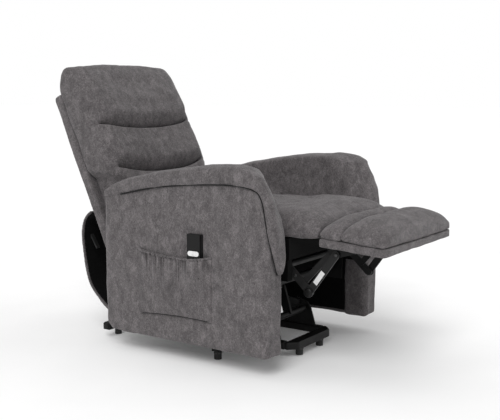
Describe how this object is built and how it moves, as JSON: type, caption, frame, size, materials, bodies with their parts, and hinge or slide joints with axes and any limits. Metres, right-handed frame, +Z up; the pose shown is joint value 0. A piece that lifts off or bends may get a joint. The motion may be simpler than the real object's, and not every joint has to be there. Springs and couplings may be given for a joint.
{
  "type": "lift_recliner_chair",
  "caption": "Grey fabric power lift recliner chair, half reclined with its footrest out, on a low black steel lift base; handset in the side pocket",
  "frame": {"origin": "on the floor, under the middle of the chair's bounding box in the stored pose", "axes": "+Z up; the sitter faces -Y; +X is the sitter's left"},
  "size_m": [0.7962, 1.3892, 1.0081],
  "materials": {
    "upholstery": "matte",
    "lining": "matte",
    "lined_board": "matte",
    "frame_wood": "matte",
    "black_steel": "satin",
    "link_steel": "satin",
    "bright_rod": "satin",
    "rubber": "matte",
    "black_plastic": "matte",
    "white_plastic": "satin"
  },
  "bodies": {
    "floor_base": {"base_loop_front": "black_steel", "base_loop_side_L": "black_steel", "base_loop_side_R": "black_steel", "base_outrigger_L": "black_steel", "base_outrigger_R": "black_steel", "base_cross_rear": "black_steel", "foot_front_L": "rubber", "foot_front_R": "rubber", "foot_mid_L": "rubber", "foot_mid_R": "rubber", "foot_rear_L": "rubber", "foot_rear_R": "rubber", "lift_bracket_L": "black_steel", "lift_bracket_R": "black_steel"},
    "lift_arms": {"lift_arm_L": "link_steel", "lift_arm_R": "link_steel", "lift_cross_tube": "black_steel"},
    "lift_links": {"lift_link_L": "link_steel", "lift_link_R": "link_steel"},
    "actuator": {"actuator_body": "black_plastic"},
    "actuator_ram": {"actuator_rod": "bright_rod"},
    "chassis": {"side_plate_L": "black_steel", "side_plate_R": "black_steel", "chassis_tube_front": "black_steel", "chassis_tube_rear": "black_steel", "arm_body_L": "upholstery", "arm_body_R": "upholstery", "arm_frame_L": "lined_board", "arm_frame_R": "lined_board", "arm_cap_L": "upholstery", "arm_cap_R": "upholstery", "arm_pocket": "upholstery"},
    "seat": {"seat_frame": "lined_board", "seat_springs": "link_steel", "seat_cushion": "upholstery"},
    "footrest_drive": {"drive_link_L": "link_steel", "drive_link_R": "link_steel", "drive_tube": "black_steel"},
    "footrest_front_bars": {"front_bar_L": "link_steel", "front_bar_R": "link_steel"},
    "footrest_rear_bars": {"rear_bar_L": "link_steel", "rear_bar_R": "link_steel"},
    "footrest": {"foot_bracket_L": "black_steel", "foot_bracket_R": "black_steel", "foot_board": "upholstery", "foot_roll": "upholstery", "foot_pad": "upholstery"},
    "back": {"back_panel": "upholstery", "back_frame": "frame_wood", "back_pad_low": "upholstery", "back_pad_mid": "upholstery", "back_pad_head": "upholstery", "back_bracket_L": "black_steel", "back_bracket_R": "black_steel"},
    "lower_rear_panel": {"rear_shell": "lining", "shell_stay": "link_steel"},
    "handset": {"handset_shell": "black_plastic"},
    "handset_button_front": {"button_front": "white_plastic"},
    "handset_button_rear": {"button_rear": "white_plastic"}
  },
  "joints": [
    {"name": "lift", "type": "hinge", "parent": "floor_base", "child": "lift_arms", "pos_m": [0, -0.179, 0.118], "axis": [1, 0, 0], "range_deg": [0, 46.8]},
    {"name": "chassis_tilt", "type": "hinge", "parent": "lift_arms", "child": "chassis", "pos_m": [0, 0.201, 0.142], "axis": [1, 0, 0], "range_deg": [-18.6, 0]},
    {"name": "lift_link_swing", "type": "hinge", "parent": "floor_base", "child": "lift_links", "pos_m": [0, -0.148, 0.139], "axis": [1, 0, 0], "range_deg": [0, 46.8]},
    {"name": "actuator_swing", "type": "hinge", "parent": "floor_base", "child": "actuator", "pos_m": [0, 0.368, 0.104], "axis": [1, 0, 0], "range_deg": [0, 2.7]},
    {"name": "actuator_extend", "type": "slide", "parent": "actuator", "child": "actuator_ram", "axis": [0, -0.9761, 0.2175], "range_m": [0, 0.0802]},
    {"name": "seat_glide", "type": "slide", "parent": "chassis", "child": "seat", "axis": [0, 1, 0], "range_m": [0, 0.0601]},
    {"name": "footrest", "type": "hinge", "parent": "seat", "child": "footrest_drive", "pos_m": [0, -0.305, 0.348], "axis": [1, 0, 0], "range_deg": [0, 43.96]},
    {"name": "footrest_front_bar_fold", "type": "hinge", "parent": "footrest_drive", "child": "footrest_front_bars", "pos_m": [0, -0.395, 0.266], "axis": [1, 0, 0], "range_deg": [-53.6, 0]},
    {"name": "footrest_rear_bar_fold", "type": "hinge", "parent": "footrest_drive", "child": "footrest_rear_bars", "pos_m": [0, -0.3691, 0.2958], "axis": [1, 0, 0], "range_deg": [-55.1, 0]},
    {"name": "footrest_board_fold", "type": "hinge", "parent": "footrest_front_bars", "child": "footrest", "pos_m": [0, -0.494, 0.402], "axis": [1, 0, 0], "range_deg": [0, 99.7]},
    {"name": "recline", "type": "hinge", "parent": "chassis", "child": "back", "pos_m": [0, 0.335, 0.33], "axis": [-1, 0, 0], "range_deg": [-10, 25]},
    {"name": "lower_rear_panel_swing", "type": "hinge", "parent": "chassis", "child": "lower_rear_panel", "pos_m": [0, 0.43, 0.115], "axis": [-1, 0, 0], "range_deg": [-7.1, 17.6]},
    {"name": "handset_lift_out", "type": "slide", "parent": "chassis", "child": "handset", "axis": [0, 0, 1], "range_m": [0, 0.15]},
    {"name": "button_front_press", "type": "slide", "parent": "handset", "child": "handset_button_front", "axis": [1, 0, 0], "range_m": [0, 0.0015], "stiffness_N_per_m": 700, "springref_m": -0.0005},
    {"name": "button_rear_press", "type": "slide", "parent": "handset", "child": "handset_button_rear", "axis": [1, 0, 0], "range_m": [0, 0.0015], "stiffness_N_per_m": 700, "springref_m": -0.0005}
  ],
  "couplings": [
    {"joint": "chassis_tilt", "follows": "lift", "ratio": -0.3953},
    {"joint": "lift_link_swing", "follows": "lift", "ratio": 0.9969},
    {"joint": "actuator_swing", "follows": "lift", "ratio": 0.0558},
    {"joint": "actuator_extend", "follows": "lift", "m_per_rad": 0.098},
    {"joint": "seat_glide", "follows": "footrest", "m_per_rad": 0.07819},
    {"joint": "footrest_front_bar_fold", "follows": "footrest", "ratio": -1.2165},
    {"joint": "footrest_rear_bar_fold", "follows": "footrest", "ratio": -1.25},
    {"joint": "footrest_board_fold", "follows": "footrest", "ratio": 2.2637},
    {"joint": "lower_rear_panel_swing", "follows": "recline", "ratio": 0.7}
  ]
}
